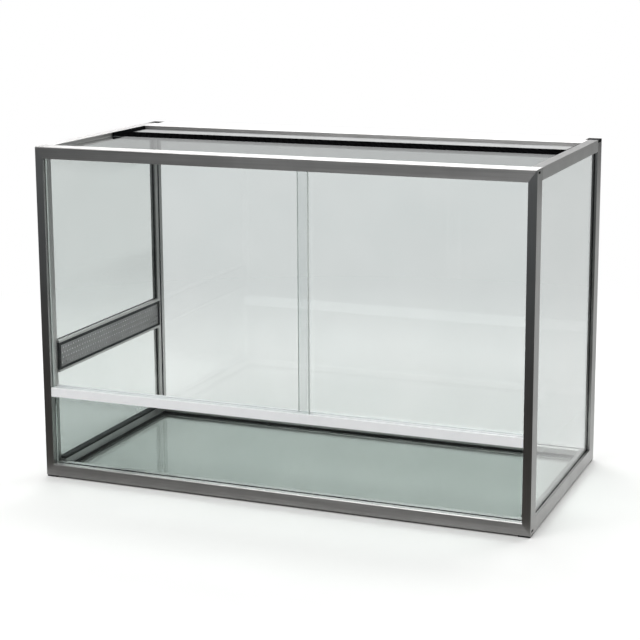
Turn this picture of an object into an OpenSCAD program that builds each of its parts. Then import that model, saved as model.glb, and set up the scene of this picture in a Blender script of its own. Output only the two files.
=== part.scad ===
// Glass terrarium in an aluminium frame, with two sliding front doors.
// X runs to the right, Y to the back, Z up. The origin is the middle of the footprint.

/* [Tank] */
// Overall width, left to right
tank_w = 600; // [500:10:1000]
// Overall depth, front to back
tank_d = 300; // [260:10:500]
// Overall height, feet included
tank_h = 400; // [340:10:600]
// Height of the rubber feet
foot_h = 2; // [1:0.5:6]
// Side of a square foot
foot_side = 14; // [10:0.5:16]
// Distance of a foot from the outer faces
foot_inset = 0.5; // [0:0.5:3]

/* [Frame] */
// Depth of the front and rear frames, front to back
frame_d = 20; // [19:0.5:26]
// Height of their top and bottom rails
rail_h = 14; // [13.5:0.5:18]
// Width of the corner posts, seen from the front
post_w = 10; // [9.5:0.5:14]
// Width of the lower side rails, left to right
side_rail_w = 16; // [15:0.5:22]
// Width of the upper side rails
top_side_w = 12; // [10.5:0.5:16]
// Height of the lower side rails
side_sill_h = 16; // [14:0.5:20]
// Wall of every aluminium profile
wall = 1.5; // [1.2:0.1:1.8]
// Height of the hollow in the front and rear rails that takes the corner connectors
chamber_h = 4; // [3:0.5:5]
// Depth of the grooves that hold the glass
groove_d = 4.5; // [3.5:0.5:5]
// Distance from the outer face of the tank to the middle of the side glass
side_glass_inset = 5.5; // [5:0.1:5.8]

/* [Glass] */
// Thickness of every pane
glass_t = 4; // [3:0.5:4]
// Thickness of the rubber round the edge of a pane
seal_t = 0.5; // [0.3:0.1:0.8]
// Height of the black bead on the left lower rail, inside
bead_h = 3; // [1:0.5:5]
// Distance of that bead from the inner face of the rail
bead_setback = 0; // [0:0.5:4]

/* [Floor] */
// Width of the ledge under the floor glass
floor_ledge_w = 7; // [5:0.5:12]
// Thickness of that ledge
floor_ledge_t = 1.2; // [1:0.1:2]
// Height and width of the bead round the floor glass
floor_bead = 1.5; // [1:0.5:5]

/* [Doors] */
// Height of the underside of the lower door track
sill_z = 100; // [60:5:160]
// Height of the lower door track
sill_h = 11; // [10:0.5:16]
// Depth of the lower door track, front to back
sill_d = 19; // [17:0.5:19]
// Depth of its two door channels
sill_channel_d = 3; // [2:0.5:4]
// Width of the left door
left_door_w = 330.5; // [310:0.5:360]
// How far the doors overlap when closed
door_overlap = 15; // [5:1:40]
// Gap between a closed door and its post
door_end_gap = 0.5; // [0.3:0.1:2]
// Gap between a door and each wall of its channel
run_clear = 0.3; // [0.2:0.1:0.4]
// Thickness of the rib between the two channels
track_rib = 2.4; // [1.6:0.2:2.8]
// How far a closed door reaches into the upper track
door_engage = 2.2; // [1.5:0.1:3]
// Wall above the channels of the upper track
upper_track_roof = 1.2; // [0.8:0.1:1.6]

/* [Side vent] */
// Height of the underside of the ventilation strip
vent_z = 126; // [115:1:200]
// Height of the ventilation strip
vent_h = 39; // [34:1:60]
// Thickness of its top and bottom plates
vent_plate_t = 3; // [1.5:0.1:3.5]
// Height of the blocks at its top and bottom that grip the glass
vent_grip_h = 8.2; // [7:0.1:12]
// Thickness of the perforated panel
vent_panel_t = 1.2; // [0.8:0.1:2]
// How far the panel reaches into its gasket
vent_panel_edge = 1.5; // [1:0.5:2]
// Plain rim of the panel outside its holes
vent_panel_rim = 3.5; // [2.5:0.5:6]
// Visible width of the black gasket above the panel and at its ends
vent_gasket_w = 3.5; // [3:0.5:7]
// Visible width of the gasket along the lower edge
vent_gasket_low = 2.5; // [2.5:0.5:7]
// Depth of that gasket
vent_gasket_d = 3.2; // [2.6:0.1:4]
// Diameter of the holes in the panel
vent_hole_d = 3; // [2:0.5:4]
// Distance from hole to hole
vent_pitch = 6; // [5:0.5:10]

/* [Roof] */
// How far the roof glass lies below the top of the frame
roof_recess = 4.5; // [3:0.5:6]
// Width of the ledge that carries the roof
roof_ledge_w = 6; // [5:0.5:8]
// Distance from the front face to the rear edge of the roof glass
roof_glass_rear = 162; // [120:1:170]
// Width of the black ventilation strip behind it
roof_vent_w = 49; // [30:1:60]
// Width of the cover flange of the rear top rail, without the rail itself
roof_flange_w = 32; // [20:1:40]
// Thickness of the perforated sheet
roof_sheet_t = 1; // [0.6:0.1:2]
// Width of the bars of its frame
roof_frame_w = 5; // [4:0.5:8]
// Diameter of the holes in the sheet
roof_hole_d = 4.5; // [3:0.5:6]
// Distance from hole to hole
roof_pitch = 8.5; // [7:0.5:14]
// Plain rim of the sheet outside its holes
roof_sheet_rim = 4; // [3:0.5:8]
// Thickness of the upright web between the glass and the ventilation strip
joint_web = 2; // [1.5:0.5:4]
// Width of the flange under each of them
joint_flange = 8; // [6:0.5:10]
// Wall of the tube between the strip and the rear rail
bar_wall = 1.2; // [0.8:0.1:2]
// Thickness of the upright cheeks at both ends of the strip and the tube
cheek_t = 1.2; // [0.8:0.1:2]
// Distance of their upper edges from the top of the frame
cheek_drop = 0.3; // [0:0.1:2]

/* [Corner connectors] */
// Length of each arm inside its profile
arm_l = 25; // [15:1:40]
// Clearance between a connector and the profile round it
arm_clear = 0.2; // [0.1:0.1:0.3]
// How far the blocks of a connector run into each other
arm_lap = 1; // [0.5:0.1:2]
// Height of the black heads at the rear top corners
head_h = 3.5; // [3:0.5:5]
// Width of those heads, left to right
head_w = 16; // [12:0.5:20]
// Length of the latch that shows in the side of each front post
latch_l = 8; // [5:1:10]
// Height of that latch
latch_h = 2.6; // [2:0.2:3]

/* [Hidden] */

aluminium = [0.60, 0.62, 0.62];
pale_plastic = [0.90, 0.90, 0.92];
black_plastic = [0.07, 0.07, 0.08];
black_rubber = [0.10, 0.11, 0.11];
clear_glass = [0.72, 0.82, 0.79, 0.45];

// outer faces and the lines that everything hangs on
half_w = tank_w / 2;
half_d = tank_d / 2;
front_back_y = -half_d + frame_d; // back of the front frame
rear_front_y = half_d - frame_d;  // front of the rear frame
post_x = half_w - post_w;         // inner face of a post
side_x = half_w - side_rail_w;    // inner face of a lower side rail
top_side_x = half_w - top_side_w; // inner face of an upper side rail
base_z = foot_h;
rail_top_z = base_z + rail_h;         // top of the front and rear bottom rails
head_z = tank_h - rail_h;             // underside of every top rail
side_sill_top = base_z + side_sill_h; // top of the lower side rails
mid_front_y = -half_d + frame_d / 2;
mid_rear_y = half_d - frame_d / 2;

groove_w = glass_t + 2 * seal_t;
pane_in = groove_d - seal_t; // how far a pane reaches into its groove
side_pane_x = half_w - side_glass_inset;

// doors and tracks
channel_w = glass_t + 2 * run_clear;
door_dy = (channel_w + track_rib) / 2;
sill_top = sill_z + sill_h;
door_rest = 0.3; // a door stands this far above the floor of its channel
door_z0 = sill_top - sill_channel_d + door_rest;
door_z1 = head_z + door_engage;
left_door_x0 = -post_x + door_end_gap;
left_door_x1 = left_door_x0 + left_door_w;
right_door_x0 = left_door_x1 - door_overlap;
right_door_x1 = post_x - door_end_gap;
track_fit = 0.2; // clearance round the upper track in its rail
track_slot_top = tank_h - 2 * wall - chamber_h;

// roof levels, from the ledge upwards
roof_top_z = tank_h - roof_recess;
roof_glass_z = roof_top_z - glass_t;
roof_ledge_z = roof_glass_z - seal_t;
roof_gap = 0.3; // play at each end of the pieces that lie on the ledges
roof_x = top_side_x - roof_gap;
roof_glass_y = -half_d + roof_glass_rear;
roof_vent_y0 = roof_glass_y + joint_web;
roof_vent_y1 = roof_vent_y0 + roof_vent_w;
flange_y = rear_front_y - roof_flange_w;
cheek_x = roof_x - cheek_t; // inner face of a cheek
ledge_x = top_side_x - roof_ledge_w; // inner edge of the side ledges

// side vent, measured from the outer face of the left side
vent_top = vent_z + vent_h;
vent_body_in = side_glass_inset + groove_w / 2 + wall;
vent_body_out = side_glass_inset - groove_w / 2 - wall;
vent_reach = vent_body_in + vent_gasket_d; // the gasket lies against the grips
vent_y0 = front_back_y;
vent_y1 = rear_front_y;

eps = 0.5; // how far a cut runs past the face that it opens

// ---------- drawing helpers ----------

module rect(x0, x1, y0, y1) {
    translate([x0, y0]) square([x1 - x0, y1 - y0]);
}

module block(x, y, z) {
    translate([x[0], y[0], z[0]]) cube([x[1] - x[0], y[1] - y[0], z[1] - z[0]]);
}

// a section drawn in Y and Z, run along X
module along_x(x0, x1) {
    translate([x0, 0, 0]) rotate([90, 0, 90]) linear_extrude(x1 - x0) children();
}

// a section drawn in X and Z, run along Y
module along_y(y0, y1) {
    translate([0, y1, 0]) rotate([90, 0, 0]) linear_extrude(y1 - y0) children();
}

// a section drawn in X and Y, run along Z
module along_z(z0, z1) {
    translate([0, 0, z0]) linear_extrude(z1 - z0) children();
}

module both_sides() {
    children();
    mirror([1, 0, 0]) children();
}

module to_left() {
    mirror([1, 0, 0]) children();
}

// ---------- corner connectors ----------

// One three-way connector of the right side. grow widens it into the space that the
// profiles leave for it. y0..y1 is the hollow of the post, dir is +1 at a top corner.
module connector(y0, y1, rail_z, chamber_z0, side_z0, side_z1, dir, back, grow) {
    c = grow - arm_clear;
    x0 = post_x + wall - c;
    x1 = half_w - wall + c;
    ay = [y0 - c, y1 + c];
    az = [chamber_z0 - c, chamber_z0 + chamber_h + c];
    block([post_x - arm_l, x1], ay, az);
    post_run = dir > 0 ? [head_z - arm_l, chamber_z0 + chamber_h + c] : [chamber_z0 - c, rail_z + arm_l];
    block([x0, x1], ay, post_run);
    bx = dir > 0 ? [top_side_x + wall - c, half_w - wall + c] : [side_x + wall - c, side_glass_x0 - wall + c];
    neck_y = back ? [rear_front_y - arm_lap, y1 + c] : [y0 - c, front_back_y + arm_lap];
    block(bx, neck_y, az);
    blade_y = back ? [rear_front_y - arm_l, rear_front_y] : [front_back_y, front_back_y + arm_l];
    block(bx, blade_y, [side_z0 - c, side_z1 + c]);
}

// edges of the groove for the side glass
side_glass_x0 = side_pane_x - groove_w / 2;
side_glass_x1 = side_pane_x + groove_w / 2;
top_hollow_z = head_z + groove_d + wall; // floor of the hollow above the groove of an upper side rail

module front_connector(top, grow) {
    y0 = -half_d + wall;
    y1 = front_back_y - groove_d - wall;
    chamber_z = tank_h - wall - chamber_h;
    if (top) connector(y0, y1, head_z, chamber_z, top_hollow_z, tank_h - wall, 1, false, grow);
    else connector(y0, y1, rail_top_z, base_z + wall, base_z + wall, side_sill_top - wall, -1, false, grow);
    latch_y = -half_d + (frame_d - latch_l) / 4 + wall / 2;
    latch_z = top ? chamber_z : base_z + wall + chamber_h - latch_h;
    block([half_w - wall - arm_lap, half_w], [latch_y, latch_y + latch_l], [latch_z, latch_z + latch_h]);
}

module rear_connector(top, grow) {
    y0 = mid_rear_y + groove_w / 2 + wall;
    y1 = half_d - wall;
    chamber_z = tank_h - wall - chamber_h;
    if (top) connector(y0, y1, head_z, chamber_z, top_hollow_z, tank_h - wall, 1, true, grow);
    else connector(y0, y1, rail_top_z, base_z + wall, base_z + wall, side_sill_top - wall, -1, true, grow);
    if (top) block([half_w - head_w, half_w], [rear_front_y, half_d], [tank_h - head_h, tank_h]);
}

module connector_space() {
    both_sides() {
        front_connector(true, arm_clear);
        front_connector(false, arm_clear);
        rear_connector(true, arm_clear);
        rear_connector(false, arm_clear);
    }
}

module front_corner_connectors() {
    color(black_plastic) both_sides() {
        front_connector(true, 0);
        front_connector(false, 0);
    }
}

module rear_corner_connectors() {
    color(black_plastic) both_sides() {
        rear_connector(true, 0);
        rear_connector(false, 0);
    }
}

// ---------- frame ----------

// space that a side pane and its rubber take up in the grooves
module side_pane_space() {
    both_sides() block([side_glass_x0, side_glass_x1],
        [front_back_y - groove_d, rear_front_y + groove_d],
        [side_sill_top - groove_d, head_z + groove_d]);
}

// face of a mitred rail as seen from the front, with the ends cut at the post width
module mitre_face(top) {
    outer = top ? tank_h : base_z;
    inner = top ? head_z : rail_top_z;
    polygon([[-half_w, outer], [half_w, outer], [post_x, inner], [-post_x, inner]]);
}

module post_mitre_face() {
    polygon([[half_w, tank_h], [post_x, head_z], [post_x, rail_top_z], [half_w, base_z]]);
}

module top_ledge(y0, y1) {
    along_x(-top_side_x, top_side_x) rect(y0, y1, roof_ledge_z - wall, roof_ledge_z);
}

module floor_ledge(y0, y1) {
    along_x(-side_x, side_x) rect(y0, y1, base_z, base_z + floor_ledge_t);
}

module front_top_rail() {
    color(aluminium) {
        difference() {
            intersection() {
                along_x(-half_w, half_w) difference() {
                    rect(-half_d, front_back_y, head_z, tank_h);
                    rect(-half_d + wall, front_back_y - wall, tank_h - wall - chamber_h, tank_h - wall);
                    rect(-half_d + wall, front_back_y - wall, head_z - eps, track_slot_top);
                }
                along_y(-half_d, front_back_y) mitre_face(true);
            }
            connector_space();
            side_pane_space();
        }
        top_ledge(front_back_y, front_back_y + roof_ledge_w);
    }
}

// hollow section of a bottom rail with its glass groove, mirrored front to back by the caller
module bottom_rail_section(y0, y1) {
    mid = (y0 + y1) / 2;
    side_hollow_z = base_z + 2 * wall + chamber_h;
    difference() {
        rect(y0, y1, base_z, rail_top_z);
        rect(y0 + wall, y1 - wall, base_z + wall, base_z + wall + chamber_h);
        rect(mid - groove_w / 2, mid + groove_w / 2, rail_top_z - groove_d, rail_top_z + eps);
        rect(y0 + wall, mid - groove_w / 2 - wall, side_hollow_z, rail_top_z - wall);
        rect(mid + groove_w / 2 + wall, y1 - wall, side_hollow_z, rail_top_z - wall);
    }
}

module bottom_rail(y0, y1) {
    difference() {
        intersection() {
            along_x(-half_w, half_w) bottom_rail_section(y0, y1);
            along_y(y0, y1) mitre_face(false);
        }
        connector_space();
        side_pane_space();
    }
}

module front_bottom_rail() {
    color(aluminium) {
        bottom_rail(-half_d, front_back_y);
        floor_ledge(front_back_y, front_back_y + floor_ledge_w);
    }
}

module rear_bottom_rail() {
    color(aluminium) {
        bottom_rail(rear_front_y, half_d);
        floor_ledge(rear_front_y - floor_ledge_w, rear_front_y);
    }
}

module rear_top_rail() {
    low_hollow_top = tank_h - 2 * wall - chamber_h;
    color(aluminium) {
        difference() {
            intersection() {
                along_x(-half_w, half_w) difference() {
                    rect(rear_front_y, half_d, head_z, tank_h);
                    rect(rear_front_y + wall, half_d - wall, tank_h - wall - chamber_h, tank_h - wall);
                    rect(mid_rear_y - groove_w / 2, mid_rear_y + groove_w / 2, head_z - eps, head_z + groove_d);
                    rect(rear_front_y + wall, mid_rear_y - groove_w / 2 - wall, head_z + wall, low_hollow_top);
                    rect(mid_rear_y + groove_w / 2 + wall, half_d - wall, head_z + wall, low_hollow_top);
                }
                along_y(rear_front_y, half_d) mitre_face(true);
            }
            connector_space();
            side_pane_space();
        }
        along_x(-top_side_x, top_side_x) {
            rect(flange_y, rear_front_y, tank_h - wall, tank_h);
            rect(flange_y, flange_y + wall, roof_ledge_z - wall, tank_h);
            rect(flange_y - roof_ledge_w, flange_y, roof_ledge_z - wall, roof_ledge_z);
        }
    }
}

module front_right_post_solid() {
    difference() {
        intersection() {
            along_z(base_z, tank_h) difference() {
                rect(post_x, half_w, -half_d, front_back_y);
                rect(post_x + wall, half_w - wall, -half_d + wall, front_back_y - groove_d - wall);
                rect(side_glass_x0, side_glass_x1, front_back_y - groove_d, front_back_y + eps);
            }
            along_y(-half_d, front_back_y) post_mitre_face();
        }
        connector_space();
    }
}

module rear_right_post_solid() {
    difference() {
        intersection() {
            along_z(base_z, tank_h) difference() {
                rect(post_x, half_w, rear_front_y, half_d);
                rect(post_x + wall, half_w - wall, mid_rear_y + groove_w / 2 + wall, half_d - wall);
                rect(side_glass_x0, side_glass_x1, rear_front_y - eps, rear_front_y + groove_d);
                rect(post_x - eps, post_x + groove_d, mid_rear_y - groove_w / 2, mid_rear_y + groove_w / 2);
            }
            along_y(rear_front_y, half_d) post_mitre_face();
        }
        connector_space();
    }
}

module front_right_post() {
    color(aluminium) front_right_post_solid();
}

module front_left_post() {
    color(aluminium) to_left() front_right_post_solid();
}

module rear_right_post() {
    color(aluminium) rear_right_post_solid();
}

module rear_left_post() {
    color(aluminium) to_left() rear_right_post_solid();
}

module top_side_rail_solid() {
    difference() {
        along_y(front_back_y, rear_front_y) difference() {
            rect(top_side_x, half_w, head_z, tank_h);
            rect(side_glass_x0, side_glass_x1, head_z - eps, head_z + groove_d);
            rect(top_side_x + wall, half_w - wall, top_hollow_z, tank_h - wall);
        }
        connector_space();
    }
    along_y(front_back_y + roof_ledge_w, flange_y - roof_ledge_w)
        rect(ledge_x, top_side_x, roof_ledge_z - wall, roof_ledge_z);
}

module bottom_side_rail_solid() {
    difference() {
        along_y(front_back_y, rear_front_y) difference() {
            rect(side_x, half_w, base_z, side_sill_top);
            rect(side_x + wall, side_glass_x0 - wall, base_z + wall, side_sill_top - wall);
            rect(side_glass_x0, side_glass_x1, side_sill_top - groove_d, side_sill_top + eps);
            rect(side_glass_x0, half_w - wall, base_z + wall, side_sill_top - groove_d - wall);
        }
        connector_space();
    }
    along_y(front_back_y + floor_ledge_w, rear_front_y - floor_ledge_w)
        rect(side_x - floor_ledge_w, side_x, base_z, base_z + floor_ledge_t);
}

module right_top_rail() {
    color(aluminium) top_side_rail_solid();
}

module left_top_rail() {
    color(aluminium) to_left() top_side_rail_solid();
}

module right_bottom_rail() {
    color(aluminium) bottom_side_rail_solid();
}

module left_bottom_rail() {
    color(aluminium) to_left() bottom_side_rail_solid();
}

module feet() {
    x1 = half_w - foot_inset;
    y1 = half_d - foot_inset;
    color(black_rubber) both_sides() {
        block([x1 - foot_side, x1], [y1 - foot_side, y1], [0, foot_h]);
        block([x1 - foot_side, x1], [-y1, -y1 + foot_side], [0, foot_h]);
    }
}

// ---------- glass and its rubber ----------

// Rubber channel round the four edges of a pane. x, y and z are the ranges of the pane,
// thin names the axis across its thickness.
module edge_seal(x, y, z, thin) {
    o = [seal_t, seal_t, seal_t];
    lip = pane_in;
    cut = [for (a = [0 : 2]) a == thin ? -seal_t - eps : lip];
    difference() {
        block([x[0] - o[0], x[1] + o[0]], [y[0] - o[1], y[1] + o[1]], [z[0] - o[2], z[1] + o[2]]);
        block([x[0] + cut[0], x[1] - cut[0]], [y[0] + cut[1], y[1] - cut[1]], [z[0] + cut[2], z[1] - cut[2]]);
        block(x, y, z);
    }
}

floor_x = side_x - seal_t;
floor_y0 = front_back_y + seal_t;
floor_y1 = rear_front_y - seal_t;
floor_z0 = base_z + floor_ledge_t + seal_t;
floor_z1 = floor_z0 + glass_t;

module floor_glass() {
    color(clear_glass) block([-floor_x, floor_x], [floor_y0, floor_y1], [floor_z0, floor_z1]);
}

// black bead that beds the floor glass on its ledge and fills the corner above it
module floor_bead_strip() {
    color(black_rubber) difference() {
        block([-side_x, side_x], [front_back_y, rear_front_y],
            [floor_z0 - seal_t, floor_z1 + floor_bead]);
        block([-side_x + floor_bead, side_x - floor_bead],
            [front_back_y + floor_bead, rear_front_y - floor_bead], [floor_z0, floor_z1 + floor_bead + eps]);
        block([-side_x + floor_ledge_w, side_x - floor_ledge_w],
            [front_back_y + floor_ledge_w, rear_front_y - floor_ledge_w], [0, floor_z1]);
        block([-floor_x, floor_x], [floor_y0, floor_y1], [floor_z0, floor_z1]);
    }
}

back_x = [-post_x - pane_in, post_x + pane_in];
back_y = [mid_rear_y - glass_t / 2, mid_rear_y + glass_t / 2];
back_z = [rail_top_z - pane_in, head_z + pane_in];

module back_glass() {
    color(clear_glass) block(back_x, back_y, back_z);
}

module back_glass_seal() {
    color(black_rubber) edge_seal(back_x, back_y, back_z, 1);
}

side_pane = [side_pane_x - glass_t / 2, side_pane_x + glass_t / 2];
side_y = [front_back_y - pane_in, rear_front_y + pane_in];
side_z = [side_sill_top - pane_in, head_z + pane_in];
lower_z = [side_sill_top - pane_in, vent_z + pane_in];
upper_z = [vent_top - pane_in, head_z + pane_in];

module right_side_glass() {
    color(clear_glass) block(side_pane, side_y, side_z);
}

module right_glass_seal() {
    color(black_rubber) edge_seal(side_pane, side_y, side_z, 0);
}

module left_lower_glass() {
    color(clear_glass) to_left() block(side_pane, side_y, lower_z);
}

// seal of the lower left pane, with a bead on the rail against the inner face of the pane
module left_lower_seal() {
    color(black_rubber) to_left() {
        edge_seal(side_pane, side_y, lower_z, 0);
        block([side_x + bead_setback, side_pane[0]], [front_back_y, rear_front_y],
            [side_sill_top, side_sill_top + bead_h]);
    }
}

module left_upper_glass() {
    color(clear_glass) to_left() block(side_pane, side_y, upper_z);
}

module left_upper_seal() {
    color(black_rubber) to_left() edge_seal(side_pane, side_y, upper_z, 0);
}

front_x = [-post_x + seal_t, post_x - seal_t];
front_y = [mid_front_y - glass_t / 2, mid_front_y + glass_t / 2];
front_z = [rail_top_z - pane_in, sill_z + pane_in];

module front_lower_glass() {
    color(clear_glass) block(front_x, front_y, front_z);
}

// rubber along the lower and the upper edge only, because the ends stand against the posts
module front_lower_seal() {
    ends = [front_x[0] - eps, front_x[1] + eps];
    color(black_rubber) difference() {
        block(front_x, [front_y[0] - seal_t, front_y[1] + seal_t],
            [front_z[0] - seal_t, front_z[1] + seal_t]);
        block(ends, [-half_d, front_back_y], [front_z[0] + pane_in, front_z[1] - pane_in]);
        block(ends, front_y, front_z);
    }
}

// ---------- side vent, drawn on the right and mirrored ----------

module vent_body(z0, z1, groove_z0, groove_z1, plate_z0, plate_z1) {
    along_y(vent_y0, vent_y1) difference() {
        union() {
            rect(half_w - vent_body_in, half_w - vent_body_out, z0, z1);
            rect(half_w - vent_reach, half_w - vent_body_in, plate_z0, plate_z1);
        }
        rect(side_glass_x0, side_glass_x1, groove_z0, groove_z1);
    }
}

module left_vent_lower_rail() {
    color(aluminium) to_left() vent_body(vent_z, vent_z + vent_grip_h,
        vent_z - eps, vent_z + groove_d, vent_z, vent_z + vent_plate_t);
}

module left_vent_upper_rail() {
    color(aluminium) to_left() vent_body(vent_top - vent_grip_h, vent_top,
        vent_top - groove_d, vent_top + eps, vent_top - vent_plate_t, vent_top);
}

panel_x = half_w - vent_reach + (vent_gasket_d - vent_panel_t) / 2;
panel_y0 = vent_y0 + vent_gasket_w - vent_panel_edge;
panel_y1 = vent_y1 - vent_gasket_w + vent_panel_edge;
panel_z0 = vent_z + vent_plate_t + vent_gasket_low - vent_panel_edge;
panel_z1 = vent_top - vent_plate_t - vent_gasket_w + vent_panel_edge;

// staggered rows of round holes that fill a rectangle, drawn flat
module hole_field(u, v, d, pitch) {
    rows = floor((v[1] - v[0] - d) / pitch) + 1;
    cols = floor((u[1] - u[0] - d - pitch / 2) / pitch) + 1;
    u0 = (u[0] + u[1] - (cols - 0.5) * pitch) / 2;
    v0 = (v[0] + v[1] - (rows - 1) * pitch) / 2;
    for (r = [0 : rows - 1], c = [0 : cols - 1])
        translate([u0 + (c + (r % 2) / 2) * pitch, v0 + r * pitch]) circle(d = d, $fn = 16);
}

module left_vent_panel() {
    color([0.42, 0.43, 0.43]) to_left() translate([panel_x, 0, 0])
        rotate([90, 0, 90]) linear_extrude(vent_panel_t) difference() {
            rect(panel_y0, panel_y1, panel_z0, panel_z1);
            hole_field([panel_y0 + vent_panel_rim, panel_y1 - vent_panel_rim],
                [panel_z0 + vent_panel_rim, panel_z1 - vent_panel_rim], vent_hole_d, vent_pitch);
        }
}

module left_vent_gasket() {
    x0 = half_w - vent_reach;
    color(black_rubber) to_left() difference() {
        block([x0, x0 + vent_gasket_d], [vent_y0, vent_y1],
            [vent_z + vent_plate_t, vent_top - vent_plate_t]);
        block([x0 - eps, x0 + vent_gasket_d + eps],
            [vent_y0 + vent_gasket_w, vent_y1 - vent_gasket_w],
            [vent_z + vent_plate_t + vent_gasket_low, vent_top - vent_plate_t - vent_gasket_w]);
        block([panel_x, panel_x + vent_panel_t], [panel_y0, panel_y1], [panel_z0, panel_z1]);
    }
}

// ---------- doors and tracks ----------

sill_y0 = mid_front_y - sill_d / 2;
sill_y1 = mid_front_y + sill_d / 2;

module lower_door_track() {
    color(pale_plastic) along_x(-post_x, post_x) difference() {
        rect(sill_y0, sill_y1, sill_z, sill_top);
        for (s = [-1, 1]) rect(mid_front_y + s * door_dy - channel_w / 2,
            mid_front_y + s * door_dy + channel_w / 2, sill_top - sill_channel_d, sill_top + eps);
        rect(mid_front_y - groove_w / 2, mid_front_y + groove_w / 2, sill_z - eps, sill_z + groove_d);
    }
}

module upper_door_track() {
    y0 = -half_d + wall + track_fit;
    y1 = front_back_y - wall - track_fit;
    z1 = track_slot_top - track_fit;
    color(pale_plastic) along_x(-post_x, post_x) difference() {
        rect(y0, y1, head_z, z1);
        for (s = [-1, 1]) rect(mid_front_y + s * door_dy - channel_w / 2,
            mid_front_y + s * door_dy + channel_w / 2, head_z - eps, z1 - upper_track_roof);
    }
}

module left_door() {
    y = mid_front_y - door_dy;
    color(clear_glass) block([left_door_x0, left_door_x1], [y - glass_t / 2, y + glass_t / 2],
        [door_z0, door_z1]);
}

module right_door() {
    y = mid_front_y + door_dy;
    color(clear_glass) block([right_door_x0, right_door_x1], [y - glass_t / 2, y + glass_t / 2],
        [door_z0, door_z1]);
}

// ---------- roof ----------

module roof_glass() {
    color(clear_glass) block([-roof_x, roof_x], [front_back_y + roof_gap, roof_glass_y],
        [roof_glass_z, roof_top_z]);
}

// flat strip between the ledges and the glass, on three sides
module roof_glass_seal() {
    color(black_rubber) difference() {
        block([-roof_x, roof_x], [front_back_y + roof_gap, roof_glass_y], [roof_ledge_z, roof_glass_z]);
        block([-ledge_x, ledge_x], [front_back_y + roof_ledge_w, roof_glass_y - joint_flange],
            [roof_ledge_z - eps, roof_glass_z + eps]);
    }
}

module roof_joint_profile() {
    color(black_plastic) {
        along_x(-ledge_x, ledge_x) rect(roof_glass_y - joint_flange, roof_vent_y0 + joint_flange,
            roof_ledge_z - wall, roof_ledge_z);
        along_x(-roof_x, roof_x) rect(roof_glass_y, roof_vent_y0, roof_ledge_z, roof_top_z);
    }
}

// frame under the sheet, with a cheek at each end that also closes the tube behind it
module roof_vent_frame() {
    color(black_plastic) {
        difference() {
            block([-roof_x, roof_x], [roof_vent_y0, roof_vent_y1], [roof_ledge_z, roof_top_z - roof_sheet_t]);
            block([-roof_x + roof_frame_w, roof_x - roof_frame_w],
                [roof_vent_y0 + roof_frame_w, roof_vent_y1 - roof_frame_w], [roof_ledge_z - eps, roof_top_z]);
        }
        both_sides() block([cheek_x, roof_x], [roof_vent_y0, flange_y], [roof_ledge_z, tank_h - cheek_drop]);
    }
}

module roof_vent_sheet() {
    color(black_plastic) along_z(roof_top_z - roof_sheet_t, roof_top_z) difference() {
        rect(-cheek_x, cheek_x, roof_vent_y0, roof_vent_y1);
        hole_field([-cheek_x + roof_sheet_rim, cheek_x - roof_sheet_rim],
            [roof_vent_y0 + roof_sheet_rim, roof_vent_y1 - roof_sheet_rim], roof_hole_d, roof_pitch);
    }
}

module roof_vent_bar() {
    color(aluminium) along_x(-cheek_x, cheek_x) difference() {
        rect(roof_vent_y1, flange_y, roof_ledge_z, roof_top_z);
        rect(roof_vent_y1 + bar_wall, flange_y - bar_wall, roof_ledge_z + bar_wall, roof_top_z - bar_wall);
    }
}

front_top_rail();
front_bottom_rail();
rear_top_rail();
rear_bottom_rail();
front_left_post();
front_right_post();
rear_left_post();
rear_right_post();
left_top_rail();
right_top_rail();
left_bottom_rail();
right_bottom_rail();
front_corner_connectors();
rear_corner_connectors();
feet();
floor_glass();
floor_bead_strip();
back_glass();
back_glass_seal();
right_side_glass();
right_glass_seal();
left_lower_glass();
left_lower_seal();
left_upper_glass();
left_upper_seal();
left_vent_lower_rail();
left_vent_upper_rail();
left_vent_panel();
left_vent_gasket();
front_lower_glass();
front_lower_seal();
lower_door_track();
upper_door_track();
left_door();
right_door();
roof_glass();
roof_glass_seal();
roof_joint_profile();
roof_vent_frame();
roof_vent_sheet();
roof_vent_bar();
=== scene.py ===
import math

import bmesh
import bpy
from mathutils import Matrix, Vector


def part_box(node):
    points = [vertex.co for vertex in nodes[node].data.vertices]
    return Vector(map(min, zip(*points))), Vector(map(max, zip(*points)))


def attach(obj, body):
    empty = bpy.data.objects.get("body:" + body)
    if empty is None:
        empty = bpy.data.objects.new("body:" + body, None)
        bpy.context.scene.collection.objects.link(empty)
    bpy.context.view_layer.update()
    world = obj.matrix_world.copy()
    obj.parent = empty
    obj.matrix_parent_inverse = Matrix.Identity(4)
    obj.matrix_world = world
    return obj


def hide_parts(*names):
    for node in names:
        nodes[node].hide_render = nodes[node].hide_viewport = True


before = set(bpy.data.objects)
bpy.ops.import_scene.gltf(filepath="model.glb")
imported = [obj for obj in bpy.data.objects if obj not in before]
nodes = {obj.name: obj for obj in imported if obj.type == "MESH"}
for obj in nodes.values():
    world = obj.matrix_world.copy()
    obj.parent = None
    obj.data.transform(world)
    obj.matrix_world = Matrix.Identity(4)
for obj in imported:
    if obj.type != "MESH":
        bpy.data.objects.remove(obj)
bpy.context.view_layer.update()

scene = bpy.context.scene
scene.view_settings.view_transform = "Standard"

cameraValues = {
    "place": (0.7308, -1.8144, 0.6282),  # metres, right of the tank and above its roof
    "yaw": 22.03,  # degrees to the left of straight ahead
    "pitch": 11.0,  # degrees downwards
    "roll": -0.29,  # degrees
    "lens": 93.7,  # mm
    "sensor": 36.0,  # mm
    "shiftY": -0.0797,  # lifts the tank in the picture, as in the photograph
    "clip": (0.05, 100.0),  # metres
}


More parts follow.
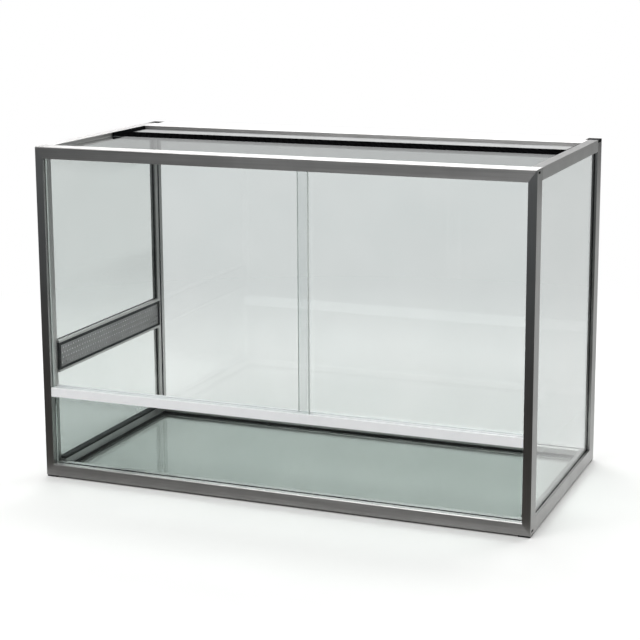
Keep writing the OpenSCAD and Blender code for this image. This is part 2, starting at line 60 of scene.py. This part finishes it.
def makeCamera(v):
    data = bpy.data.cameras.new("camera")
    data.lens = v["lens"]
    data.sensor_width = v["sensor"]
    data.shift_y = v["shiftY"]
    data.clip_start, data.clip_end = v["clip"]
    camera = bpy.data.objects.new("camera", data)
    turn = Matrix.Rotation(math.radians(v["yaw"]), 4, "Z")
    turn = turn @ Matrix.Rotation(math.radians(90 - v["pitch"]), 4, "X")
    turn = turn @ Matrix.Rotation(math.radians(v["roll"]), 4, "Z")
    camera.matrix_world = Matrix.Translation(v["place"]) @ turn
    scene.collection.objects.link(camera)
    scene.camera = camera


makeCamera(cameraValues)
print("camera placed")


def linearColour(code):
    # sRGB hex code to the linear colour that the shaders use
    parts = [int(code.lstrip("#")[i:i + 2], 16) / 255 for i in (0, 2, 4)]
    linear = [c / 12.92 if c <= 0.04045 else ((c + 0.055) / 1.055) ** 2.4 for c in parts]
    return (*linear, 1.0)


def addNode(tree, kind, settings=None, links=None):
    # settings: properties of the node, its sockets by capitalised name or by number, or a colour
    # ramp's stops; links: socket to an output socket, or to a node, whose first output is meant
    node = tree.nodes.new(kind)
    for key, value in (settings or {}).items():
        if key == "stops":
            elements = node.color_ramp.elements
            while len(elements) < len(value):
                elements.new(0.5)
            for element, (place, code) in zip(elements, value):
                element.position = place
                element.color = linearColour(code)
        elif isinstance(key, int) or key[0].isupper():
            node.inputs[key].default_value = value
        else:
            setattr(node, key, value)
    for key, source in (links or {}).items():
        output = source.outputs[0] if isinstance(source, bpy.types.Node) else source
        tree.links.new(output, node.inputs[key])
    return node


def newMaterial(name):
    material = bpy.data.materials.new(name)
    material.use_nodes = True
    tree = material.node_tree
    tree.nodes.clear()
    return material, tree


def toneStops(tones, spread):
    # stops from the deep to the pale tone, as far as spread from a noise texture's middle value
    deep, pale = tones
    return [(0.5 - spread, deep), (0.5 + spread, pale)]


noiseRun = {"From Min": 0.3, "From Max": 0.7}  # most values of a noise texture lie between these

stageValues = {
    "reach": 30.0,  # metres from the middle
    "tones": ("#F4F4F3", "#F6F6F5"),
    "spread": 0.15,
    "cloud": 6.0,  # patches of tone in a metre
    # Painted reflection, which the floor shows only to rays mirrored by metal and glass, by metres in front
    # of (-) and behind the tank: the darker room on the camera's side, then the white paper behind the tank.
    "behindRun": (-3.0, 3.0),
    "behindPaintedReflections": [(0.0, "#787B7C"), (0.23, "#565B5D"), (0.40, "#403E3C"), (0.48, "#51504D"),
                    (0.53, "#989A99"), (0.60, "#A4A6A6"), (0.70, "#8C8D8D")],
    # The same painted reflection on the tank's right side, by metres to the right.
    "besideRun": (0.3, 1.0),
    "besidePaintedReflections": [(0.0, "#D8DAD9"), (0.5, "#CACCCB"), (1.0, "#C4C6C5")],
    # Painted dark reflection far to the right and behind, which only the right upper rail mirrors: painted
    # shade on that rail's outer face.
    "farTone": "#222423",
    # Where each zone of the floor fades in, in metres from the middle: round it, or along an axis.
    "zones": {
        "plain": ("round", 0.42, 1.2),  # the floor turns into plain white
        # the zones below mark where the floor shows its painted reflections
        "front": ("Y", -0.10, -0.20),
        "right": ("X", 0.27, 0.36),
        "farRight": ("X", 0.97, 1.0),
        "farBehind": ("Y", 2.2, 2.5),
    },
}

lightValues = {
    "horizon": "#BFC0C0",  # grey room at eye level
    "ceiling": "#FFFFFF",
    "ceilingRun": (0.1, 0.75),  # height of a direction, from the horizon's tone to the ceiling's
    "strength": 0.62,
    "mirrorStrength": 0.92,  # what metal and glass mirror of the room behind the tank
    "frontShade": 0.30,  # share of the light that is left on the camera's side
    "frontRun": (0.3, -0.7),  # depth of a direction, from the back to the camera's side
    "rightShade": 0.35,  # share of the mirrored room that is left on the right
    "rightRun": (0.08, 0.2),
    "aim": (0.0, 0.0, 0.2),  # metres, where the softboxes point
    "softboxes": {  # metres and watts
        "rearSoftbox": {"place": (0.0, 2.2, 2.4), "size": (4.4, 1.8), "power": 74.0},
        "topSoftbox": {"place": (-0.2, 0.1, 2.4), "size": (2.2, 1.8), "power": 17.0},
        "frontSoftbox": {"place": (-0.4, -1.5, 2.3), "size": (1.8, 1.0), "power": 27.0},
    },
}


def rayKinds(tree):
    # straight: rays from the camera, also past panes of glass; mirrored: rays turned by metal or glass
    paths = addNode(tree, "ShaderNodeLightPath").outputs
    turns = addNode(tree, "ShaderNodeMath", {"operation": "ADD", "use_clamp": True},
                    {0: paths["Glossy Depth"], 1: paths["Diffuse Depth"]})
    passed = addNode(tree, "ShaderNodeMath", {"operation": "SUBTRACT", "use_clamp": True},
                     {0: paths["Is Transmission Ray"], 1: turns})
    straight = addNode(tree, "ShaderNodeMath", {"operation": "MAXIMUM"},
                       {0: paths["Is Camera Ray"], 1: passed})
    mirrored = addNode(tree, "ShaderNodeMath", {"operation": "SUBTRACT", "use_clamp": True},
                       {0: paths["Is Glossy Ray"], 1: straight})
    return straight, mirrored


def whitePaperWithPaintedReflections(v):
    # Matt white background paper. The camera sees it turn into plain white away from the tank; rays mirrored
    # by metal and glass see painted reflections in it, toned zones of a studio floor that glow only for them.
    material, tree = newMaterial("matt white studio floor with painted reflections")
    place = addNode(tree, "ShaderNodeTexCoord").outputs["Object"]
    split = addNode(tree, "ShaderNodeSeparateXYZ", None, {"Vector": place}).outputs
    distance = addNode(tree, "ShaderNodeVectorMath", {"operation": "LENGTH"}, {0: place}).outputs["Value"]
    zones = {}
    for name, (axis, start, end) in v["zones"].items():
        zones[name] = addNode(tree, "ShaderNodeMapRange",
                              {"interpolation_type": "SMOOTHSTEP", "From Min": start, "From Max": end},
                              {"Value": distance if axis == "round" else split[axis]})
    right = addNode(tree, "ShaderNodeMath", {"operation": "SUBTRACT", "use_clamp": True},
                    {0: zones["right"], 1: zones["front"]})
    far = addNode(tree, "ShaderNodeMath", {"operation": "MULTIPLY"},
                  {0: zones["farRight"], 1: zones["farBehind"]})
    ramps = {}
    for name, axis in (("behind", "Y"), ("beside", "X")):
        start, end = v[name + "Run"]
        run = addNode(tree, "ShaderNodeMapRange", {"From Min": start, "From Max": end},
                      {"Value": split[axis]})
        ramps[name] = addNode(tree, "ShaderNodeValToRGB", {"stops": v[name + "PaintedReflections"]}, {"Fac": run})
    tones = addNode(tree, "ShaderNodeMix", {"data_type": "RGBA"},
                    {0: right, 6: ramps["behind"], 7: ramps["beside"]})
    tones = addNode(tree, "ShaderNodeMix", {"data_type": "RGBA", 7: linearColour(v["farTone"])},
                    {0: far, 6: tones.outputs[2]})
    straight, mirrored = rayKinds(tree)
    plain = addNode(tree, "ShaderNodeMath", {"operation": "MULTIPLY"}, {0: straight, 1: zones["plain"]})
    paintedReflectionMask = addNode(tree, "ShaderNodeMath", {"operation": "MAXIMUM"}, {0: zones["plain"], 1: zones["front"]})
    paintedReflectionMask = addNode(tree, "ShaderNodeMath", {"operation": "MAXIMUM"}, {0: paintedReflectionMask, 1: right})
    paintedReflectionMask = addNode(tree, "ShaderNodeMath", {"operation": "MULTIPLY"}, {0: mirrored, 1: paintedReflectionMask})
    cloud = addNode(tree, "ShaderNodeTexNoise", {"Scale": v["cloud"], "Detail": 3.0}, {"Vector": place})
    paper = addNode(tree, "ShaderNodeValToRGB", {"stops": toneStops(v["tones"], v["spread"])}, {"Fac": cloud})
    matt = addNode(tree, "ShaderNodeBsdfDiffuse", None, {"Color": paper})
    white = addNode(tree, "ShaderNodeEmission", {"Color": (1, 1, 1, 1), "Strength": 1.0})
    # painted reflection: the toned zones glow for mirrored rays, though the floor is no lamp
    paintedReflection = addNode(tree, "ShaderNodeEmission", {"Strength": 1.0}, {"Color": tones.outputs[2]})
    shown = addNode(tree, "ShaderNodeMixShader", None, {0: plain, 1: matt, 2: white})
    shown = addNode(tree, "ShaderNodeMixShader", None, {0: paintedReflectionMask, 1: shown, 2: paintedReflection})
    addNode(tree, "ShaderNodeOutputMaterial", None, {"Surface": shown})
    return material


def makeFloor(v):
    bm = bmesh.new()
    bmesh.ops.create_grid(bm, x_segments=1, y_segments=1, size=v["reach"])
    mesh = bpy.data.meshes.new("studio_floor")
    bm.to_mesh(mesh)
    bm.free()
    mesh.materials.append(whitePaperWithPaintedReflections(v))
    floor = bpy.data.objects.new("studio_floor", mesh)
    scene.collection.objects.link(floor)


def makeWorld(v):
    world = bpy.data.worlds.new("studio")
    scene.world = world
    world.use_nodes = True
    tree = world.node_tree
    tree.nodes.clear()
    way = addNode(tree, "ShaderNodeTexCoord").outputs["Generated"]
    split = addNode(tree, "ShaderNodeSeparateXYZ", None, {"Vector": way}).outputs
    front = v["strength"] * v["frontShade"]
    # axis of the direction, the run along it, and the level at both ends of the run
    ranges = {
        "ceiling": ("Z", v["ceilingRun"], (0.0, 1.0)),
        "lit": ("Y", v["frontRun"], (v["strength"], front)),
        "behind": ("Y", v["frontRun"], (v["mirrorStrength"], front)),
        "right": ("X", v["rightRun"], (1.0, v["rightShade"])),
    }
    levels = {}
    for name, (axis, run, ends) in ranges.items():
        levels[name] = addNode(tree, "ShaderNodeMapRange",
                               {"interpolation_type": "SMOOTHSTEP", "From Min": run[0], "From Max": run[1],
                                "To Min": ends[0], "To Max": ends[1]}, {"Value": split[axis]})
    turned = addNode(tree, "ShaderNodeMath", {"operation": "MULTIPLY"},
                     {0: levels["behind"], 1: levels["right"]})
    straight, mirrored = rayKinds(tree)
    level = addNode(tree, "ShaderNodeMix", {"data_type": "FLOAT"}, {0: mirrored, 2: levels["lit"], 3: turned})
    colours = {"data_type": "RGBA", 6: linearColour(v["horizon"]), 7: linearColour(v["ceiling"])}
    room = addNode(tree, "ShaderNodeMix", colours, {0: levels["ceiling"]})
    lit = addNode(tree, "ShaderNodeBackground", None, {"Color": room.outputs[2], "Strength": level})
    white = addNode(tree, "ShaderNodeBackground", {"Color": (1, 1, 1, 1), "Strength": 1.0})
    shown = addNode(tree, "ShaderNodeMixShader", None, {0: straight, 1: lit, 2: white})
    addNode(tree, "ShaderNodeOutputWorld", None, {"Surface": shown})


def makeSoftbox(name, v, aim):
    data = bpy.data.lights.new(name, "AREA")
    data.shape = "RECTANGLE"
    data.size, data.size_y = v["size"]
    data.energy = v["power"]
    lamp = bpy.data.objects.new(name, data)
    way = Vector(aim) - Vector(v["place"])
    lamp.matrix_world = Matrix.Translation(v["place"]) @ way.to_track_quat("-Z", "Y").to_matrix().to_4x4()
    lamp.visible_camera = False
    scene.collection.objects.link(lamp)


makeFloor(stageValues)
makeWorld(lightValues)
for name, softbox in lightValues["softboxes"].items():
    makeSoftbox(name, softbox, lightValues["aim"])
print("floor and light set")

aluminiumValues = {
    # deep and pale tone of the oxide layer, and how far they lie apart in the noise
    "profile": ("#BEBDBC", "#D0CFCE"),
    # the vent sheet's and the tube's tones: the profile's finish darkened, as painted shade
    "shadedVentSheet": ("#8B8B8B", "#A4A4A4"),
    "shadedVentBar": ("#7F8080", "#8F9090"),
    "spread": 0.18,
    "roughness": (0.30, 0.40),
    "anisotropy": 0.85,
    "lineSpacing": 1.6,  # mm; real die lines are 0.1 to 0.3 mm apart and too fine to show
    "lineLength": 160.0,  # mm
    "lineDepth": 0.02,  # mm
    "lineStrength": 0.35,
    "cloud": 35.0,  # mm, slow change of tone in the oxide layer
    "cloudShare": 0.5,
}


def anodisedAluminium(name, along, tones, v=aluminiumValues):
    # Extruded, etched and anodised: fine lines run along the profile, and the oxide layer gives
    # it a soft satin grey with no mirror image.
    material, tree = newMaterial(name)
    place = addNode(tree, "ShaderNodeTexCoord").outputs["Object"]
    stretch = [1000 / v["lineSpacing"]] * 3
    stretch["XYZ".index(along)] = 1000 / v["lineLength"]
    lines = addNode(tree, "ShaderNodeMapping", {"Scale": stretch}, {"Vector": place})
    drawn = addNode(tree, "ShaderNodeTexNoise", {"Scale": 1.0, "Detail": 3.0, "Roughness": 0.6},
                    {"Vector": lines})
    cloud = addNode(tree, "ShaderNodeTexNoise", {"Scale": 1000 / v["cloud"], "Detail": 2.0},
                    {"Vector": place})
    tone = addNode(tree, "ShaderNodeMix", {"data_type": "FLOAT", 0: v["cloudShare"]}, {2: drawn, 3: cloud})
    colour = addNode(tree, "ShaderNodeValToRGB", {"stops": toneStops(v[tones], v["spread"])}, {"Fac": tone})
    low, high = v["roughness"]
    rough = addNode(tree, "ShaderNodeMapRange", {**noiseRun, "To Min": low, "To Max": high},
                    {"Value": drawn})
    bump = addNode(tree, "ShaderNodeBump", {"Strength": v["lineStrength"], "Distance": v["lineDepth"] / 1000},
                   {"Height": drawn})
    # the die lines scatter light across the profile and hardly along it
    around = addNode(tree, "ShaderNodeTangent", {"direction_type": "RADIAL", "axis": along})
    metal = addNode(tree, "ShaderNodeBsdfPrincipled", {"Metallic": 1.0, "Anisotropic": v["anisotropy"]},
                    {"Base Color": colour, "Roughness": rough, "Normal": bump, "Tangent": around})
    addNode(tree, "ShaderNodeOutputMaterial", None, {"Surface": metal})
    return material


glassValues = {
    # deep and pale tint of each kind of pane, and how far they lie apart in the noise
    "roof": ("#ECEFEE", "#EFF2F1"),
    "left": ("#DCE1DF", "#DFE4E2"),
    "back": ("#E3E7E6", "#E6EAE9"),
    "clear": ("#F6F8F8", "#F9FAFA"),
    "floor": ("#F5F7F6", "#F8FAF9"),
    "lower": ("#CAD2D0", "#CFD6D4"),  # darker tint, as painted shade: the photograph is darker below the door track
    "spread": 0.2,
    "shadow": "#FAFCFB",  # light that falls through one face of a pane
    "ior": 1.52,
    "wave": 90.0,  # mm, slow waviness left by the float bath
    "waveDepth": 0.004,  # mm
    "waveStrength": 0.3,
    "wipe": 14.0,  # mm, faint wiping marks that dull the mirror image a little
    "wipeRun": {"From Min": 0.45, "From Max": 0.75},
    "roughness": (0.0, 0.02),
}


def floatGlass(name, tints, v=glassValues):
    # Float glass, polished by fire on both faces: clear, with a grey green cast from its iron.
    material, tree = newMaterial(name)
    place = addNode(tree, "ShaderNodeTexCoord").outputs["Object"]
    wipe = addNode(tree, "ShaderNodeTexNoise", {"Scale": 1000 / v["wipe"], "Detail": 4.0}, {"Vector": place})
    wave = addNode(tree, "ShaderNodeTexNoise", {"Scale": 1000 / v["wave"], "Detail": 1.0}, {"Vector": place})
    colour = addNode(tree, "ShaderNodeValToRGB", {"stops": toneStops(v[tints], v["spread"])}, {"Fac": wave})
    low, high = v["roughness"]
    rough = addNode(tree, "ShaderNodeMapRange", {**v["wipeRun"], "To Min": low, "To Max": high},
                    {"Value": wipe})
    bump = addNode(tree, "ShaderNodeBump", {"Strength": v["waveStrength"], "Distance": v["waveDepth"] / 1000},
                   {"Height": wave})
    glass = addNode(tree, "ShaderNodeBsdfPrincipled", {"IOR": v["ior"], "Transmission Weight": 1.0},
                    {"Base Color": colour, "Roughness": rough, "Normal": bump})
    # shadow rays and scattered light go straight through, so that a pane throws only a faint shadow
    paths = addNode(tree, "ShaderNodeLightPath").outputs
    passed = addNode(tree, "ShaderNodeMath", {"operation": "MAXIMUM"},
                     {0: paths["Is Shadow Ray"], 1: paths["Is Diffuse Ray"]})
    clear = addNode(tree, "ShaderNodeBsdfTransparent", {"Color": linearColour(v["shadow"])})
    shown = addNode(tree, "ShaderNodeMixShader", None, {0: passed, 1: glass, 2: clear})
    addNode(tree, "ShaderNodeOutputMaterial", None, {"Surface": shown})
    return material


surfaceValues = {
    # tones from deep to pale; grain and its depth in mm; gloss is 0.5 for a full mirror strength
    "rubber": {"tones": ("#17191A", "#26282A"), "roughness": (0.55, 0.75), "grain": 1.2,
               "depth": 0.03, "ior": 1.52, "gloss": 0.5},
    "pvc": {"tones": ("#F5F6F8", "#FAFAFC"), "roughness": (0.28, 0.40), "grain": 6.0,
            "depth": 0.01, "ior": 1.53, "gloss": 0.5},
    "abs": {"tones": ("#0E1011", "#17181A"), "roughness": (0.48, 0.62), "grain": 1.5,
            "depth": 0.02, "ior": 1.54, "gloss": 0.02},
    "coat": {"tones": ("#060606", "#0C0C0D"), "roughness": (0.75, 0.90), "grain": 1.6,
             "depth": 0.03, "ior": 1.5, "gloss": 0.0},
    "ground": {"tones": ("#C9D1CE", "#DCE2DF"), "roughness": (0.42, 0.60), "grain": 1.0,
               "depth": 0.02, "ior": 1.52, "gloss": 0.5},
    "spread": 0.15,
    "cloud": 25.0,  # mm, slow change of tone
    "cloudShare": 0.6,
    "grainStrength": 0.4,
}


def grainedSurface(name, kind, v=surfaceValues):
    material, tree = newMaterial(name)
    own = v[kind]
    place = addNode(tree, "ShaderNodeTexCoord").outputs["Object"]
    grain = addNode(tree, "ShaderNodeTexNoise", {"Scale": 1000 / own["grain"], "Detail": 3.0},
                    {"Vector": place})
    cloud = addNode(tree, "ShaderNodeTexNoise", {"Scale": 1000 / v["cloud"], "Detail": 2.0},
                    {"Vector": place})
    tone = addNode(tree, "ShaderNodeMix", {"data_type": "FLOAT", 0: v["cloudShare"]}, {2: grain, 3: cloud})
    stops = toneStops(own["tones"], v["spread"])
    colour = addNode(tree, "ShaderNodeValToRGB", {"stops": stops}, {"Fac": tone})
    low, high = own["roughness"]
    rough = addNode(tree, "ShaderNodeMapRange", {**noiseRun, "To Min": low, "To Max": high},
                    {"Value": grain})
    bump = addNode(tree, "ShaderNodeBump", {"Strength": v["grainStrength"], "Distance": own["depth"] / 1000},
                   {"Height": grain})
    skin = addNode(tree, "ShaderNodeBsdfPrincipled", {"IOR": own["ior"], "Specular IOR Level": own["gloss"]},
                   {"Base Color": colour, "Roughness": rough, "Normal": bump})
    addNode(tree, "ShaderNodeOutputMaterial", None, {"Surface": skin})
    return material


# The posts and rails, each with its die lines along it.
drawnAluminium = {}
for axis in "XYZ":
    drawnAluminium[axis] = anodisedAluminium("anodised aluminium, drawn along " + axis, axis, "profile")
# The punched vent sheet and the tube on the roof have the same finish as the profiles; their darker tones are
# painted shade.
shadedVentAluminium = anodisedAluminium("perforated anodised aluminium sheet, painted shade", "Y", "shadedVentSheet")
shadedBarAluminium = anodisedAluminium("anodised aluminium tube, drawn along X, painted shade", "X", "shadedVentBar")
# All panes are float glass, each kind with its own tint, a little darker or lighter; the lower front pane's
# darker tint is painted shade.
roofGlass = floatGlass("float glass", "roof")
backGlass = floatGlass("float glass, back pane", "back")
leftGlass = floatGlass("float glass, left panes", "left")
clearGlass = floatGlass("clear float glass", "clear")
floorGlass = floatGlass("float glass, floor", "floor")
shadedLowerGlass = floatGlass("float glass, lower pane with painted shade", "lower")
# Extruded EPDM rubber: dull, slightly dusty black.
blackRubber = grainedSurface("EPDM rubber", "rubber")
# Extruded PVC: smooth and softly shining, a cool white.
whitePvc = grainedSurface("extruded PVC", "pvc")
# Moulded ABS: fine spark-eroded grain.
blackAbs = grainedSurface("moulded ABS", "abs")
# Powder coating baked on steel sheet: matt with a fine orange peel.
blackCoat = grainedSurface("powder coated steel sheet", "coat")
# The edge of a float glass pane after the grinding belt: a dull, pale grey green.
groundEdge = grainedSurface("ground glass edge", "ground")
print("materials made")


def dress(material, names):
    for name in names:
        for slot in nodes[name].material_slots:
            slot.material = material


dress(shadedVentAluminium, ["left_vent_panel"])
dress(leftGlass, ["left_lower_glass", "left_upper_glass"])
dress(backGlass, ["back_glass"])
dress(clearGlass, ["right_side_glass"])
dress(floorGlass, ["floor_glass"])
dress(shadedLowerGlass, ["front_lower_glass"])
dress(blackRubber, ["floor_bead_strip", "back_glass_seal", "right_glass_seal", "left_lower_seal",
                    "left_upper_seal", "front_lower_seal", "roof_glass_seal", "left_vent_gasket"])
dress(whitePvc, ["upper_door_track"])
# the roof vent frame is black ABS; its upright cheeks along the side rails are painted shade, black pieces
# where the rails' inner faces lie in shade
dress(blackAbs, ["front_corner_connectors", "roof_joint_profile", "roof_vent_frame"])
dress(blackCoat, ["roof_vent_sheet"])
print("CAD pieces dressed")

edgeValues = {  # width of a broken edge in mm, and the steps that it is drawn in
    "profile": (0.4, 2),  # outer edges of the extrusions
    "frontRail": (1.4, 4),  # upper outer edge of the front rails
    "track": (0.5, 2),
    "arris": (0.45, 1),  # ground chamfer round a pane
    "head": (0.5, 3),
    "foot": (0.8, 3),
}

meshValues = {
    "weld": 1e-6,  # metres, corners closer than this are one
    "near": 1e-5,  # metres, how close an edge lies to the corner it is looked for at
    "flat": math.radians(1),  # faces that meet at less are one flat face
    "sharp": math.radians(30),  # edges that turn by less are left as they are
    "aligned": 0.99,  # least share of a direction along an axis to count as along it
}


def cadCopy(node):
    # a welded copy of a node's mesh, with its flat faces joined again
    bm = bmesh.new()
    bm.from_mesh(nodes[node].data)
    bmesh.ops.remove_doubles(bm, verts=bm.verts, dist=meshValues["weld"])
    bmesh.ops.dissolve_limit(bm, angle_limit=meshValues["flat"], verts=bm.verts, edges=bm.edges)
    return bm


def isAlong(direction, axis):
    return abs(direction["XYZ".index(axis)]) > meshValues["aligned"]


def convexEdges(bm, axis=None):
    found = []
    for edge in bm.edges:
        if len(edge.link_faces) != 2 or not edge.is_convex or edge.calc_face_angle(0) < meshValues["sharp"]:
            continue
        run = (edge.verts[1].co - edge.verts[0].co).normalized()
        if axis is None or isAlong(run, axis):
            found.append(edge)
    return found


def breakEdges(bm, edges, kind):
    width, steps = edgeValues[kind]
    bmesh.ops.bevel(bm, geom=edges, offset=width / 1000, offset_type="OFFSET", segments=steps,
                    profile=0.5, affect="EDGES", clamp_overlap=True, material=-1)


def standFor(bm, node, body, materials, suffix):
    # the finished mesh becomes a piece that shows in place of the CAD node
    mesh = bpy.data.meshes.new(node + suffix)
    bm.to_mesh(mesh)
    bm.free()
    for material in materials:
        mesh.materials.append(material)
    piece = bpy.data.objects.new(node + suffix, mesh)
    scene.collection.objects.link(piece)
    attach(piece, body)
    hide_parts(node)


def makeProfile(node, axis, material, kind="profile", upperFront=None):
    bm = cadCopy(node)
    edges = convexEdges(bm, axis)
    if upperFront:
        # the corner between the front face and the top is rounder, and catches a white line
        lo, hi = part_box(node)
        corner = []
        for edge in edges:
            gaps = [max(abs(vert.co.y - lo[1]), abs(vert.co.z - hi[2])) for vert in edge.verts]
            if max(gaps) < meshValues["near"]:
                corner.append(edge)
        edges = [edge for edge in edges if edge not in corner]
        breakEdges(bm, corner, upperFront)
        edges = [edge for edge in edges if edge.is_valid]
    breakEdges(bm, edges, kind)
    standFor(bm, node, "tank", [material], "_extrusion")


def makePane(node, body, thin, glass):
    # arrises all round; the rim is ground, and the two faces stay as the float bath left them
    bm = cadCopy(node)
    breakEdges(bm, convexEdges(bm), "arris")
    bm.normal_update()
    for face in bm.faces:
        face.material_index = 0 if isAlong(face.normal, thin) else 1
    standFor(bm, node, body, [glass, groundEdge], "_pane")


def makeMoulding(node, material, kind):
    bm = cadCopy(node)
    breakEdges(bm, convexEdges(bm), kind)
    standFor(bm, node, "tank", [material], "_moulding")


for node in ("front_top_rail", "front_bottom_rail"):
    makeProfile(node, "X", drawnAluminium["X"], upperFront="frontRail")
for node in ("rear_top_rail", "rear_bottom_rail"):
    makeProfile(node, "X", drawnAluminium["X"])
makeProfile("roof_vent_bar", "X", shadedBarAluminium)
for node in ("left_top_rail", "right_top_rail", "left_bottom_rail", "right_bottom_rail",
             "left_vent_lower_rail", "left_vent_upper_rail"):
    makeProfile(node, "Y", drawnAluminium["Y"])
for node in ("front_left_post", "front_right_post", "rear_left_post", "rear_right_post"):
    makeProfile(node, "Z", drawnAluminium["Z"])
makeProfile("lower_door_track", "X", whitePvc, "track")
makePane("left_door", "left_sliding_door", "Y", clearGlass)
makePane("right_door", "right_sliding_door", "Y", clearGlass)
makePane("roof_glass", "tank", "Z", roofGlass)
makeMoulding("rear_corner_connectors", blackAbs, "head")
makeMoulding("feet", blackRubber, "foot")
print("edges broken on the profiles, panes and mouldings")
